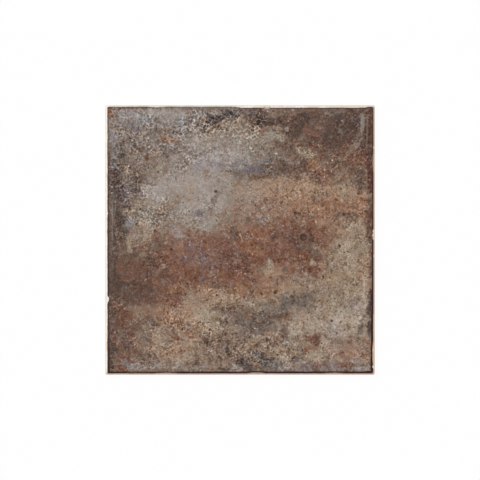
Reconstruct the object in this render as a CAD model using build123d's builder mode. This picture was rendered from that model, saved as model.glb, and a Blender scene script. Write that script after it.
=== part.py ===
from build123d import *
import os
from math import radians, tan

# A rustic glazed wall tile, pressed from clay and fired as one piece.
# The origin is the middle of the back. +Z points out of the glazed face
# and +Y points to the upper edge of the face as it hangs on a wall.

# Overall sizes
tile_side = 200.0
tile_thickness = 9.0
side_draft = 3.0
corner_radius = 1.5

# Cushioned rim, where the glazed face rolls down towards its edge
rim_width = 5.0
rim_drop = 0.7
glaze_roll = 0.8

# Bare clay arris between the glaze and the side
arris_width = 0.8
arris_height = 0.8

# Keyed back, a field of shallow square pockets that the adhesive grips
key_rows = 10
key_border = 11.5
key_rib = 3.0
key_depth = 0.5
key_corner = 1.5
key_wall_angle = 40.0

# Worn hollows along the arris, as (place, length, depth). A place is a share
# of the half side, anticlockwise round the face from the middle of each side.
worn_hollows = {
    "right": [(0.58, 18.0, 0.25), (0.03, 6.5, 0.45), (-0.84, 20.0, 0.35)],
    "upper": [(0.62, 16.0, 0.25), (-0.20, 5.5, 1.0), (-0.78, 18.0, 0.35)],
    "left": [(-0.20, 5.0, 0.45), (0.44, 6.5, 0.9), (0.57, 20.0, 0.35)],
    "lower": [(-0.54, 20.0, 0.2), (0.12, 14.0, 0.3), (0.70, 16.0, 0.2)],
}
side_turns = {"right": 0, "upper": 90, "left": 180, "lower": 270}

# Blowholes in the glaze, as (x, y, width, depth). Places are shares of the half side.
blowholes = [
    (0.47, 0.02, 4.4, 0.5),
    (0.68, -0.60, 1.8, 0.4),
    (0.26, -0.39, 2.2, 0.4),
    (0.16, -0.40, 1.8, 0.3),
    (0.20, -0.74, 2.2, 0.3),
    (0.77, 0.19, 2.4, 0.3),
    (0.41, 0.20, 2.6, 0.3),
    (-0.18, 0.36, 2.2, 0.3),
    (-0.51, -0.07, 2.4, 0.3),
]

half_side = tile_side / 2
shoulder_height = tile_thickness - rim_drop
arris_foot_height = shoulder_height - arris_height
arris_foot_reach = half_side - arris_foot_height * tan(radians(side_draft))
shoulder_reach = arris_foot_reach - arris_width
flat_reach = shoulder_reach - rim_width

key_field = tile_side - 2 * key_border
key_pitch = (key_field + key_rib) / key_rows
key_pocket = key_pitch - key_rib

# Cutters run this far past the block
cut_room = tile_thickness
cut_reach = half_side + cut_room

arris_middle = Vector(arris_foot_reach + shoulder_reach, 0, arris_foot_height + shoulder_height) / 2
arris_slope = Vector(arris_width, 0, -arris_height).normalized()
arris_normal = Vector(arris_height, 0, arris_width).normalized()


def cap_radius(width, depth):
    """Radius of a round cutter that leaves a hollow of this width and depth."""
    return (width**2 / 4 + depth**2) / (2 * depth)


def face_section(plane):
    """Section of the face, square to two sides, with room past the drafted sides."""
    with BuildSketch(plane) as section:
        with BuildLine():
            outer = Polyline(
                (0, tile_thickness),
                (0, -cut_room),
                (cut_reach, -cut_room),
                (cut_reach, shoulder_height - (cut_reach - shoulder_reach) * arris_height / arris_width),
                (shoulder_reach, shoulder_height),
            )
            rim = TangentArc((flat_reach, tile_thickness), outer @ 1, tangent=(1, 0))
            Line(rim @ 0, outer @ 0)
        make_face()
        shoulder = section.vertices().sort_by_distance((shoulder_reach, shoulder_height))[0]
        fillet(shoulder, glaze_roll)
        mirror(about=Plane.YZ)
    return section.sketch


def hollow_plane(turn, place, radius, depth):
    """Plane square to a worn hollow's cutter, on the side turned by so many degrees."""
    centre = arris_middle + Vector(0, place * half_side, 0) + arris_normal * (radius - depth)
    along = Vector(0, 1, 0)
    return Plane(
        centre.rotate(Axis.Z, turn),
        x_dir=along.rotate(Axis.Z, turn),
        z_dir=arris_slope.rotate(Axis.Z, turn),
    )


with BuildPart() as tile:
    # Drafted block, with the face and its rim pressed both ways and mitred at the corners
    with BuildSketch():
        RectangleRounded(tile_side, tile_side, corner_radius)
    extrude(amount=tile_thickness + cut_room, taper=side_draft)
    for plane in (Plane.XZ, Plane.YZ):
        section = face_section(plane.offset(-cut_reach))
        extrude(section, amount=2 * cut_reach, mode=Mode.INTERSECT)

    # Worn hollows, each scooped out of the arris by a wide round cutter
    for side, hollows in worn_hollows.items():
        for place, length, depth in hollows:
            radius = cap_radius(length, depth)
            with BuildSketch(hollow_plane(side_turns[side], place, radius, depth)):
                Circle(radius)
            extrude(amount=cut_room, both=True, mode=Mode.SUBTRACT)

    # Blowholes
    for x, y, width, depth in blowholes:
        radius = cap_radius(width, depth)
        with Locations((x * half_side, y * half_side, tile_thickness + radius - depth)):
            Sphere(radius, mode=Mode.SUBTRACT)

    # Keyed back
    with BuildSketch() as back_keys:
        with GridLocations(key_pitch, key_pitch, key_rows, key_rows):
            Rectangle(key_pocket, key_pocket)
        chamfer(back_keys.vertices(), key_corner)
    extrude(amount=key_depth, taper=key_wall_angle, mode=Mode.SUBTRACT)

os.makedirs("parts", exist_ok=True)
tile.part.label = "tile"
export_step(tile.part, "parts/tile.step")
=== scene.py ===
import bpy
from math import hypot, radians, sqrt, tan
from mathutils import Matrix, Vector, noise


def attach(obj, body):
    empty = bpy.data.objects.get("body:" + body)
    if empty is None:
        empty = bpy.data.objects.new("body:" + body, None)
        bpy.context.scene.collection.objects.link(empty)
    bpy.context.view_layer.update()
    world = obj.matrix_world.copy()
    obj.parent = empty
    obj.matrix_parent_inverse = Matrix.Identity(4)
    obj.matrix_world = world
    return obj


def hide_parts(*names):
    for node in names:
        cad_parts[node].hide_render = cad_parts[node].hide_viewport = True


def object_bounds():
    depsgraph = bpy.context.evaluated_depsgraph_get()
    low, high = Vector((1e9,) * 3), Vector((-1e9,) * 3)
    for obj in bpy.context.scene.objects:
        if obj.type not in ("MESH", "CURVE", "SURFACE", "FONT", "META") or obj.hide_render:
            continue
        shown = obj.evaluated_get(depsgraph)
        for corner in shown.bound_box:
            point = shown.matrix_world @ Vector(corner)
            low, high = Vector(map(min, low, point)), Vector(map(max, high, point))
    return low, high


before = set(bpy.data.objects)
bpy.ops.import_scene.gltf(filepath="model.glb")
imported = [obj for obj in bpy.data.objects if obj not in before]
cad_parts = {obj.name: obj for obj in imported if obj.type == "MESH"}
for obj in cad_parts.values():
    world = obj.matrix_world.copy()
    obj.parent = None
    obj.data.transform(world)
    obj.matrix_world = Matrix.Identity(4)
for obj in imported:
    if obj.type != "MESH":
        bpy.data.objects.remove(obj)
cad_low, cad_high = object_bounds()

# Sizes of the tile, in metres
mm = 0.001
tile_side = cad_high.x - cad_low.x
half_side = tile_side / 2
thickness = cad_high.z - cad_low.z
side_draft = radians(3)
corner_radius = 1.5 * mm
rim_width = 5.0 * mm
rim_drop = 0.7 * mm
arris = 0.8 * mm
foot_roll = 0.25 * mm

shoulder_height = thickness - rim_drop
arris_foot_height = shoulder_height - arris
arris_foot_reach = half_side - arris_foot_height * tan(side_draft)
shoulder_reach = arris_foot_reach - arris
flat_reach = shoulder_reach - rim_width

# Keyed back
key_rows = 10
key_border = 11.5 * mm
key_rib = 3.0 * mm
key_depth = 0.5 * mm
key_corner = 2.0 * mm
key_wall_angle = radians(40)

# Worn hollows along the arris, as (place, length, depth). A place is a share
# of the half side, anticlockwise round the face from the middle of each side.
worn_hollows = {
    "right": [(0.58, 18.0, 0.25), (0.03, 6.5, 0.45), (-0.84, 20.0, 0.35)],
    "upper": [(0.62, 16.0, 0.25), (-0.20, 5.5, 1.0), (-0.78, 18.0, 0.35)],
    "left": [(-0.20, 5.0, 0.45), (0.44, 6.5, 0.9), (0.57, 20.0, 0.35)],
    "lower": [(-0.54, 20.0, 0.2), (0.12, 14.0, 0.3), (0.70, 16.0, 0.2)],
}

# Blowholes in the glaze, as (x, y, width, depth). Places are shares of the half side.
blowholes = [
    (0.47, 0.02, 4.4, 0.5),
    (0.68, -0.60, 1.8, 0.4),
    (0.26, -0.39, 2.2, 0.4),
    (0.16, -0.40, 1.8, 0.3),
    (0.20, -0.74, 2.2, 0.3),
    (0.77, 0.19, 2.4, 0.3),
    (0.41, 0.20, 2.6, 0.3),
    (-0.18, 0.36, 2.2, 0.3),
    (-0.51, -0.07, 2.4, 0.3),
]

# Fineness of the mesh: steps across the flat face, and how many at each end are closer together
flat_steps = 228
end_steps = 5

# Rings of the mesh, as shares of the rim's width, and in millimetres down the side from the arris
rim_shares = (0.16, 0.32, 0.48, 0.62, 0.75, 0.86, 0.94)
side_drops = (0.25, 1.2, 2.6, 4.2, 5.8, 6.8)

# Fine wear of the arris, with another pattern on each side. It ends at its foot's height, and its grain and
# that of the ragged chips are in waves a metre.
wear_depth = 0.06 * mm
wear_foot = 2 * mm
wear_grain = 160
chip_raggedness = 0.25
chip_grain = 900
wear_seeds = {"right": 1.7, "upper": 12.3, "left": 23.9, "lower": 35.1}

# The glaze thins out over this width at the shoulder, and wear of this depth goes right through it
cover_fade = 0.3 * mm
cover_depth = 0.12 * mm


# Nodes

def feed(tree, socket, value):
    """Links a socket to another, or sets its value."""
    if isinstance(value, bpy.types.NodeSocket):
        tree.links.new(value, socket)
    else:
        socket.default_value = value


def add(tree, kind, inputs=None, **settings):
    """Adds a node with these settings and inputs."""
    made = tree.nodes.new(kind)
    for name, value in settings.items():
        setattr(made, name, value)
    for key, value in (inputs or {}).items():
        feed(tree, made.inputs[key], value)
    return made


def calc(tree, operation, *values):
    """One step of arithmetic."""
    inputs = dict(enumerate(values))
    return add(tree, "ShaderNodeMath", inputs, operation=operation).outputs[0]


def held(tree, value):
    """A value kept from 0 to 1. Two plain steps, because a node's own clamp is worked out too late."""
    return calc(tree, "MINIMUM", calc(tree, "MAXIMUM", value, 0.0), 1.0)


def vector_calc(tree, operation, *values, out="Vector"):
    """One step of vector arithmetic."""
    inputs = dict(enumerate(values))
    if operation == "SCALE":
        inputs = {0: values[0], "Scale": values[1]}
    return add(tree, "ShaderNodeVectorMath", inputs, operation=operation).outputs[out]


def ramp_up(tree, value, low, high):
    """0 below low, 1 above high, and smooth between them."""
    inputs = {"Value": value, "From Min": low, "From Max": high}
    return add(tree, "ShaderNodeMapRange", inputs, interpolation_type="SMOOTHSTEP", clamp=False).outputs[0]


def mix_colour(tree, factor, first, second):
    """Second colour over the first."""
    return add(tree, "ShaderNodeMix", {0: factor, 6: first, 7: second}, data_type="RGBA").outputs[2]


def mix_value(tree, factor, first, second):
    """Second value over the first."""
    return add(tree, "ShaderNodeMix", {0: factor, 2: first, 3: second}, data_type="FLOAT").outputs[0]


def clouds(tree, place, size, detail=3.0, roughness=0.55, seed=0.0):
    """Cloudy noise whose lumps are this many millimetres across."""
    # Each seed reads the noise at another place
    layer = vector_calc(tree, "ADD", place, (seed * 31.0, seed * 17.0, seed * 53.0))
    inputs = {"Vector": layer, "Scale": 1 / size, "Detail": detail, "Roughness": roughness}
    return add(tree, "ShaderNodeTexNoise", inputs)


def swinging(tree, place, size, detail, roughness, seed):
    """Cloudy noise that swings round 0."""
    return calc(tree, "SUBTRACT", clouds(tree, place, size, detail, roughness, seed).outputs[0], 0.5)


def patches(tree, place, size, detail, roughness, seed, low, high):
    """Cloudy noise as patches, 0 where it is below low and 1 where it is above high."""
    return ramp_up(tree, clouds(tree, place, size, detail, roughness, seed).outputs[0], low, high)


def new_group(name, kind, inputs, outputs):
    """A node group with named sockets, and its input and output nodes."""
    tree = bpy.data.node_groups.new(name, kind)
    for label, socket, value in inputs:
        made = tree.interface.new_socket(label, in_out="INPUT", socket_type="NodeSocket" + socket)
        if value is not None:
            made.default_value = value
    for label, socket in outputs:
        tree.interface.new_socket(label, in_out="OUTPUT", socket_type="NodeSocket" + socket)
    return tree, tree.nodes.new("NodeGroupInput").outputs, tree.nodes.new("NodeGroupOutput").inputs


def fill(tree, group, inputs):
    """Places a shader node group and fills its inputs."""
    made = add(tree, "ShaderNodeGroup", None, node_tree=group)
    for key, value in inputs.items():
        feed(tree, made.inputs[key], value)
    return made.outputs


def srgb(red, green, blue):
    """A colour as a painter reads it, 0 to 255, made linear."""
    levels = [value / 255 for value in (red, green, blue)]
    linear = [v / 12.92 if v <= 0.04045 else ((v + 0.055) / 1.055) ** 2.4 for v in levels]
    return (*linear, 1.0)


# Mesh of the tile

def edge_rings():
    """Rings from the flat face out and down to the foot, as (reach, height, corner radius)."""
    roll_radius = (rim_width**2 + rim_drop**2) / (2 * rim_drop)
    rings = []
    for share in rim_shares:
        out = share * rim_width
        rings.append((flat_reach + out, thickness - roll_radius + sqrt(roll_radius**2 - out**2)))
    slope = Vector((arris, -arris)).normalized()
    shoulder = Vector((shoulder_reach, shoulder_height))
    foot = Vector((arris_foot_reach, arris_foot_height))
    # The arris, with small rolls at its shoulder and its foot, as (corner, millimetres along, millimetres in)
    for corner, along, inward in (
        (shoulder, 0.0, (0.1, -0.02)),
        (shoulder, 0.14, (0.03, 0.03)),
        (shoulder, 0.32, (0.0, 0.0)),
        (shoulder, 0.58, (0.0, 0.0)),
        (foot, -0.26, (0.0, 0.0)),
        (foot, 0.0, (0.05, 0.02)),
    ):
        rings.append(tuple(corner + slope * along * mm - Vector(inward) * mm))
    for drop in side_drops:
        height = arris_foot_height - drop * mm
        rings.append((half_side - height * tan(side_draft), height))
    # The side rolls in to the back
    for inward, height in ((0.03 * mm, foot_roll), (0.09 * mm, foot_roll * 0.4), (foot_roll, 0.0)):
        rings.append((half_side - inward, height))
    spread = half_side - flat_reach
    return [(r, z, corner_radius * min(1.0, (r - flat_reach) / spread * 1.15)) for r, z in rings]


def stations():
    """Places of the mesh lines across the flat face, closer together near its ends."""
    even = 2 * flat_reach / flat_steps
    places = [-flat_reach + even * i for i in range(flat_steps + 1)]
    for i in range(1, end_steps):
        share = i / end_steps
        places[i] = -flat_reach + even * end_steps * share**1.5
        places[flat_steps - i] = -places[i]
    return places


def wear_limit(side, along):
    """How far out from the tile's middle the arris is left, along its 45 degree normal."""
    arris_out = (arris_foot_reach + shoulder_reach + arris_foot_height + shoulder_height) / 2 / sqrt(2)
    limit = arris_out
    for place, length, depth in worn_hollows[side]:
        far = (along - place * half_side) / (length * mm / 2)
        if abs(far) < 1.3:
            scallop = 1 - far * far
            ragged = chip_raggedness * noise.noise(Vector((along * chip_grain, depth * 40, 3.0)))
            limit = min(limit, arris_out - depth * mm * (scallop + ragged))
    waver = noise.fractal(Vector((along * wear_grain, wear_seeds[side], 7.5)), 0.9, 2.0, 4)
    return limit - wear_depth * max(0.0, waver + 0.35)


def side_of(x, y):
    """The side that a point is nearest to, and its place along it, anticlockwise."""
    if abs(x) >= abs(y):
        return ("right", y) if x > 0 else ("left", -y)
    return ("upper", -x) if y > 0 else ("lower", x)


def worn(x, y, z):
    """A point of the rim after wear, and how deep the wear cut there."""
    side, along = side_of(x, y)
    out = max(abs(x), abs(y))
    over = (out + z) / sqrt(2) - wear_limit(side, along)
    if over <= 0 or z < wear_foot:
        return x, y, z, 0.0
    shift = over / sqrt(2)
    scale = (out - shift) / out
    if side in ("right", "left"):
        return x * scale, y, z - shift, over
    return x, y * scale, z - shift, over


def rounded(x, y, reach, corner):
    """A point of a square ring, pulled in where the ring's corner is round."""
    core = reach - corner
    if abs(x) > core and abs(y) > core:
        cx, cy = core * (1 if x > 0 else -1), core * (1 if y > 0 else -1)
        far = hypot(x - cx, y - cy)
        x, y = cx + (x - cx) * corner / far, cy + (y - cy) * corner / far
    return x, y


def glazed_share(reach, cut):
    """How much glaze covers a ring of this reach where wear cut it this deep."""
    bare = (reach - (shoulder_reach - cover_fade / 2)) / cover_fade
    return max(0.0, min(1.0, 1 - bare)) * max(0.0, 1 - cut / cover_depth)


def blank_mesh():
    """The tile without its back: face, rim, arris and sides, with the glaze cover as an attribute."""
    places = stations()
    count = len(places)
    verts = []
    cover = []
    for y in places:
        for x in places:
            verts.append((x, y, thickness))
            cover.append(1.0)
    faces = []
    for j in range(count - 1):
        for i in range(count - 1):
            a = j * count + i
            faces.append((a, a + 1, a + count + 1, a + count))
    last = count - 1
    loop = list(range(last))
    loop += [j * count + last for j in range(last)]
    loop += [last * count + last - i for i in range(last)]
    loop += [(last - j) * count for j in range(last)]
    inner = loop
    spots = [(verts[i][0] / flat_reach, verts[i][1] / flat_reach) for i in loop]
    for reach, height, corner in edge_rings():
        ring = []
        for sx, sy in spots:
            x, y, z, cut = worn(*rounded(sx * reach, sy * reach, reach, corner), height)
            ring.append(len(verts))
            verts.append((x, y, z))
            cover.append(glazed_share(reach, cut))
        for i, a in enumerate(inner):
            b = inner[(i + 1) % len(inner)]
            faces.append((a, ring[i], ring[(i + 1) % len(ring)], b))
        inner = ring
    mesh = bpy.data.meshes.new("tile_blank")
    mesh.from_pydata(verts, [], faces)
    attribute = mesh.attributes.new("glaze_cover", "FLOAT", "POINT")
    attribute.data.foreach_set("value", cover)
    return mesh


def face_relief_group():
    """Geometry Nodes: hand-pressed unevenness of the face, and its blowholes."""
    tree, given, result = new_group("pressed_relief", "GeometryNodeTree", [
        ("Geometry", "Geometry", None),
        ("Wave Height", "Float", 0.12 * mm),
        ("Wave Length", "Float", 0.045),
        ("Lump Height", "Float", 0.05 * mm),
        ("Lump Length", "Float", 0.009),
        ("Face Height", "Float", thickness - 0.1 * mm),
        ("Arris Foot", "Float", arris_foot_height),
        ("Seed", "Float", 4.0),
        ("Glaze", "Material", None),
    ], [("Geometry", "Geometry")])
    place = add(tree, "GeometryNodeInputPosition").outputs[0]
    height = add(tree, "ShaderNodeSeparateXYZ", {0: place}).outputs["Z"]
    calm_height = calc(tree, "SUBTRACT", given["Face Height"], 0.6 * mm)
    on_face = ramp_up(tree, height, calm_height, given["Face Height"])
    total = None
    for tall, long in (("Wave Height", "Wave Length"), ("Lump Height", "Lump Length")):
        scale = calc(tree, "DIVIDE", 1.0, given[long])
        inputs = {"Vector": place, "W": given["Seed"], "Scale": scale, "Detail": 2.0}
        wave = add(tree, "ShaderNodeTexNoise", inputs, noise_dimensions="4D").outputs[0]
        swing = calc(tree, "MULTIPLY", calc(tree, "SUBTRACT", wave, 0.6), given[tall])
        total = swing if total is None else calc(tree, "ADD", total, swing)
    rise = calc(tree, "MULTIPLY", calc(tree, "MULTIPLY", total, 2.0), on_face)
    for x, y, width, depth in blowholes:
        middle = (x * half_side, y * half_side, thickness)
        far = vector_calc(tree, "DISTANCE", place, middle, out="Value")
        pit = ramp_up(tree, far, width * mm / 2, width * mm * 0.1)
        rise = calc(tree, "SUBTRACT", rise, calc(tree, "MULTIPLY", pit, depth * mm))
    offset = add(tree, "ShaderNodeCombineXYZ", {"Z": rise}).outputs[0]
    glazed = add(tree, "FunctionNodeCompare", {0: height, 1: given["Arris Foot"]}, operation="GREATER_THAN")
    moved = add(tree, "GeometryNodeSetPosition", {"Geometry": given["Geometry"], "Offset": offset})
    realized = add(tree, "GeometryNodeRealizeInstances", {0: moved.outputs[0]})
    inputs = {"Geometry": realized.outputs[0], "Selection": glazed.outputs[0], "Material": given["Glaze"]}
    coated = add(tree, "GeometryNodeSetMaterial", inputs)
    feed(tree, result["Geometry"], coated.outputs[0])
    return tree


def keyed_back_group():
    """Geometry Nodes: closes the foot of the tile with a flat back and a field of tapered pockets."""
    tree, given, result = new_group("keyed_back", "GeometryNodeTree", [
        ("Geometry", "Geometry", None),
        ("Rows", "Int", key_rows),
        ("Field", "Float", tile_side - 2 * key_border),
        ("Rib", "Float", key_rib),
        ("Depth", "Float", key_depth),
        ("Corner", "Float", key_corner),
        ("Wall Angle", "Float", key_wall_angle),
        ("Arris Foot", "Float", arris_foot_height),
        ("Clay", "Material", None),
    ], [("Geometry", "Geometry")])
    span = calc(tree, "ADD", given["Field"], given["Rib"])
    pitch = calc(tree, "DIVIDE", span, given["Rows"])
    pocket = calc(tree, "SUBTRACT", pitch, given["Rib"])
    reach = calc(tree, "SUBTRACT", span, pitch)

    # Rounded outlines of the pockets
    inputs = {"Size X": reach, "Size Y": reach, 2: given["Rows"], 3: given["Rows"]}
    grid = add(tree, "GeometryNodeMeshGrid", inputs)
    square = add(tree, "GeometryNodeCurvePrimitiveQuadrilateral", {"Width": pocket, "Height": pocket})
    inputs = {0: square.outputs[0], "Radius": given["Corner"], "Count": 4}
    outline = add(tree, "GeometryNodeFilletCurve", inputs, mode="POLY")
    inputs = {"Points": grid.outputs[0], "Instance": outline.outputs[0]}
    outlines = add(tree, "GeometryNodeInstanceOnPoints", inputs)
    outlines = add(tree, "GeometryNodeRealizeInstances", {0: outlines.outputs[0]}).outputs[0]

    # Ribs and border: the foot's open edge, filled round the outlines
    edge_faces = add(tree, "GeometryNodeInputMeshEdgeNeighbors").outputs[0]
    inputs = {2: edge_faces, 3: 1}
    open_edge = add(tree, "FunctionNodeCompare", inputs, data_type="INT", operation="EQUAL").outputs[0]
    inputs = {"Mesh": given["Geometry"], "Selection": open_edge}
    foot = add(tree, "GeometryNodeMeshToCurve", inputs).outputs[0]
    both = add(tree, "GeometryNodeJoinGeometry")
    tree.links.new(foot, both.inputs[0])
    tree.links.new(outlines, both.inputs[0])
    ribs = add(tree, "GeometryNodeFillCurve", {0: both.outputs[0]}, mode="TRIANGLES").outputs[0]
    ribs = add(tree, "GeometryNodeFlipFaces", {0: ribs}).outputs[0]

    # Pockets with tapered walls
    floor = add(tree, "GeometryNodeFillCurve", {0: outlines}, mode="NGONS").outputs[0]
    deeper = add(tree, "ShaderNodeCombineXYZ", {"Z": given["Depth"]}).outputs[0]
    inputs = {"Mesh": floor, "Offset": deeper, "Offset Scale": 1.0, "Individual": False}
    walls = add(tree, "GeometryNodeExtrudeMesh", inputs)
    inset = calc(tree, "MULTIPLY", given["Depth"], calc(tree, "TANGENT", given["Wall Angle"]))
    shrink = calc(tree, "SUBTRACT", 1.0, calc(tree, "DIVIDE", calc(tree, "MULTIPLY", inset, 2.0), pocket))
    inputs = {"Geometry": walls.outputs["Mesh"], "Selection": walls.outputs["Top"], "Scale": shrink}
    tapered = add(tree, "GeometryNodeScaleElements", inputs)
    pockets = add(tree, "GeometryNodeFlipFaces", {0: tapered.outputs[0]}).outputs[0]

    back = add(tree, "GeometryNodeJoinGeometry")
    tree.links.new(pockets, back.inputs[0])
    tree.links.new(ribs, back.inputs[0])
    whole = add(tree, "GeometryNodeJoinGeometry")
    tree.links.new(back.outputs[0], whole.inputs[0])
    tree.links.new(given["Geometry"], whole.inputs[0])
    merged = add(tree, "GeometryNodeMergeByDistance", {"Geometry": whole.outputs[0], "Distance": 0.001 * mm})
    place = add(tree, "GeometryNodeInputPosition").outputs[0]
    height = add(tree, "ShaderNodeSeparateXYZ", {0: place}).outputs["Z"]
    low = add(tree, "FunctionNodeCompare", {0: height, 1: given["Arris Foot"]}, operation="LESS_THAN")
    realized = add(tree, "GeometryNodeRealizeInstances", {0: merged.outputs[0]})
    inputs = {"Geometry": realized.outputs[0], "Selection": low.outputs[0], "Material": given["Clay"]}
    bare = add(tree, "GeometryNodeSetMaterial", inputs)
    feed(tree, result["Geometry"], bare.outputs[0])
    return tree


def input_of(modifier, label):
    """The identifier of a modifier's named input."""
    for item in modifier.node_group.interface.items_tree:
        if item.item_type == "SOCKET" and item.in_out == "INPUT" and item.name == label:
            return item.identifier


def applied(mesh, group, values):
    """The mesh that a Geometry Nodes group makes of another mesh."""
    carrier = placed("carrier", mesh)
    modifier = carrier.modifiers.new(group.name, "NODES")
    modifier.node_group = group
    for label, value in values.items():
        modifier[input_of(modifier, label)] = value
    depsgraph = bpy.context.evaluated_depsgraph_get()
    made = bpy.data.meshes.new_from_object(carrier.evaluated_get(depsgraph))
    bpy.data.objects.remove(carrier)
    return made


def placed(name, data):
    """An object of this data, placed in the scene."""
    made = bpy.data.objects.new(name, data)
    bpy.context.scene.collection.objects.link(made)
    return made


# Colours of the glaze and the clay

glazes = {
    "stone": srgb(137, 117, 102),
    "drab": srgb(126, 112, 102),
    "ash": srgb(143, 135, 130),
    "dim ash": srgb(130, 118, 111),
    "pale ash": srgb(160, 149, 142),
    "warm ash": srgb(150, 138, 126),
    "blue ash": srgb(132, 129, 131),
    "violet ash": srgb(148, 139, 142),
    "smoke": srgb(108, 95, 86),
    "violet smoke": srgb(110, 101, 107),
    "charcoal": srgb(84, 73, 69),
    "burnt umber": srgb(80, 65, 57),
    "pit": srgb(68, 52, 46),
    "dark rust": srgb(98, 71, 61),
    "umber": srgb(96, 76, 66),
    "brown": srgb(110, 88, 75),
    "rust": srgb(118, 82, 66),
    "red rust": srgb(128, 93, 78),
    "orange rust": srgb(138, 98, 75),
    "plum": srgb(118, 97, 93),
    "ochre": srgb(150, 115, 92),
    "tan": srgb(161, 133, 111),
    "pink tan": srgb(148, 121, 105),
    "cream": srgb(158, 141, 122),
    "bright cream": srgb(170, 154, 137),
    "lichen": srgb(150, 130, 110),
    "olive": srgb(126, 112, 96),
    "chalk": srgb(236, 227, 219),
    "scorched": srgb(50, 28, 22),
    "seared": srgb(64, 32, 23),
}

# Where the glaze ends: its reach from the middle and how far that wavers, in millimetres, and how it is
# stretched and shifted on the tile. It sits a little right of the middle.
glaze_reach = 98.92
glaze_waver = 0.9
glaze_stretch = (1.0018, 0.9992, 0.0)
glaze_shift = (-0.4, 0.2, 0.0)

# The light that the glaze's sheen adds to its colour
sheen = (0.016, 0.017, 0.018)

# How a stain ends, as (where it is gone, where it is whole, how ragged), in shares of its reach
edges = {
    "soft": (1.5, 0.5, 1.7),
    "broken": (1.3, 0.7, 2.4),
    "crisp": (1.2, 0.85, 1.2),
    "round": (1.15, 0.85, 0.15),
}

# How a stain ends and how strong it is where its row doesn't say
usual_finish = ("broken", 0.8)

# How far the places of broad stains and of close ones wander and are shaken, in millimetres
broad_wander = (14.0, 14.0, 0.0)
broad_shake = (14.0, 14.0, 0.0)
close_wander = (6.0, 6.0, 0.0)
close_shake = (8.0, 8.0, 0.0)

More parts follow.
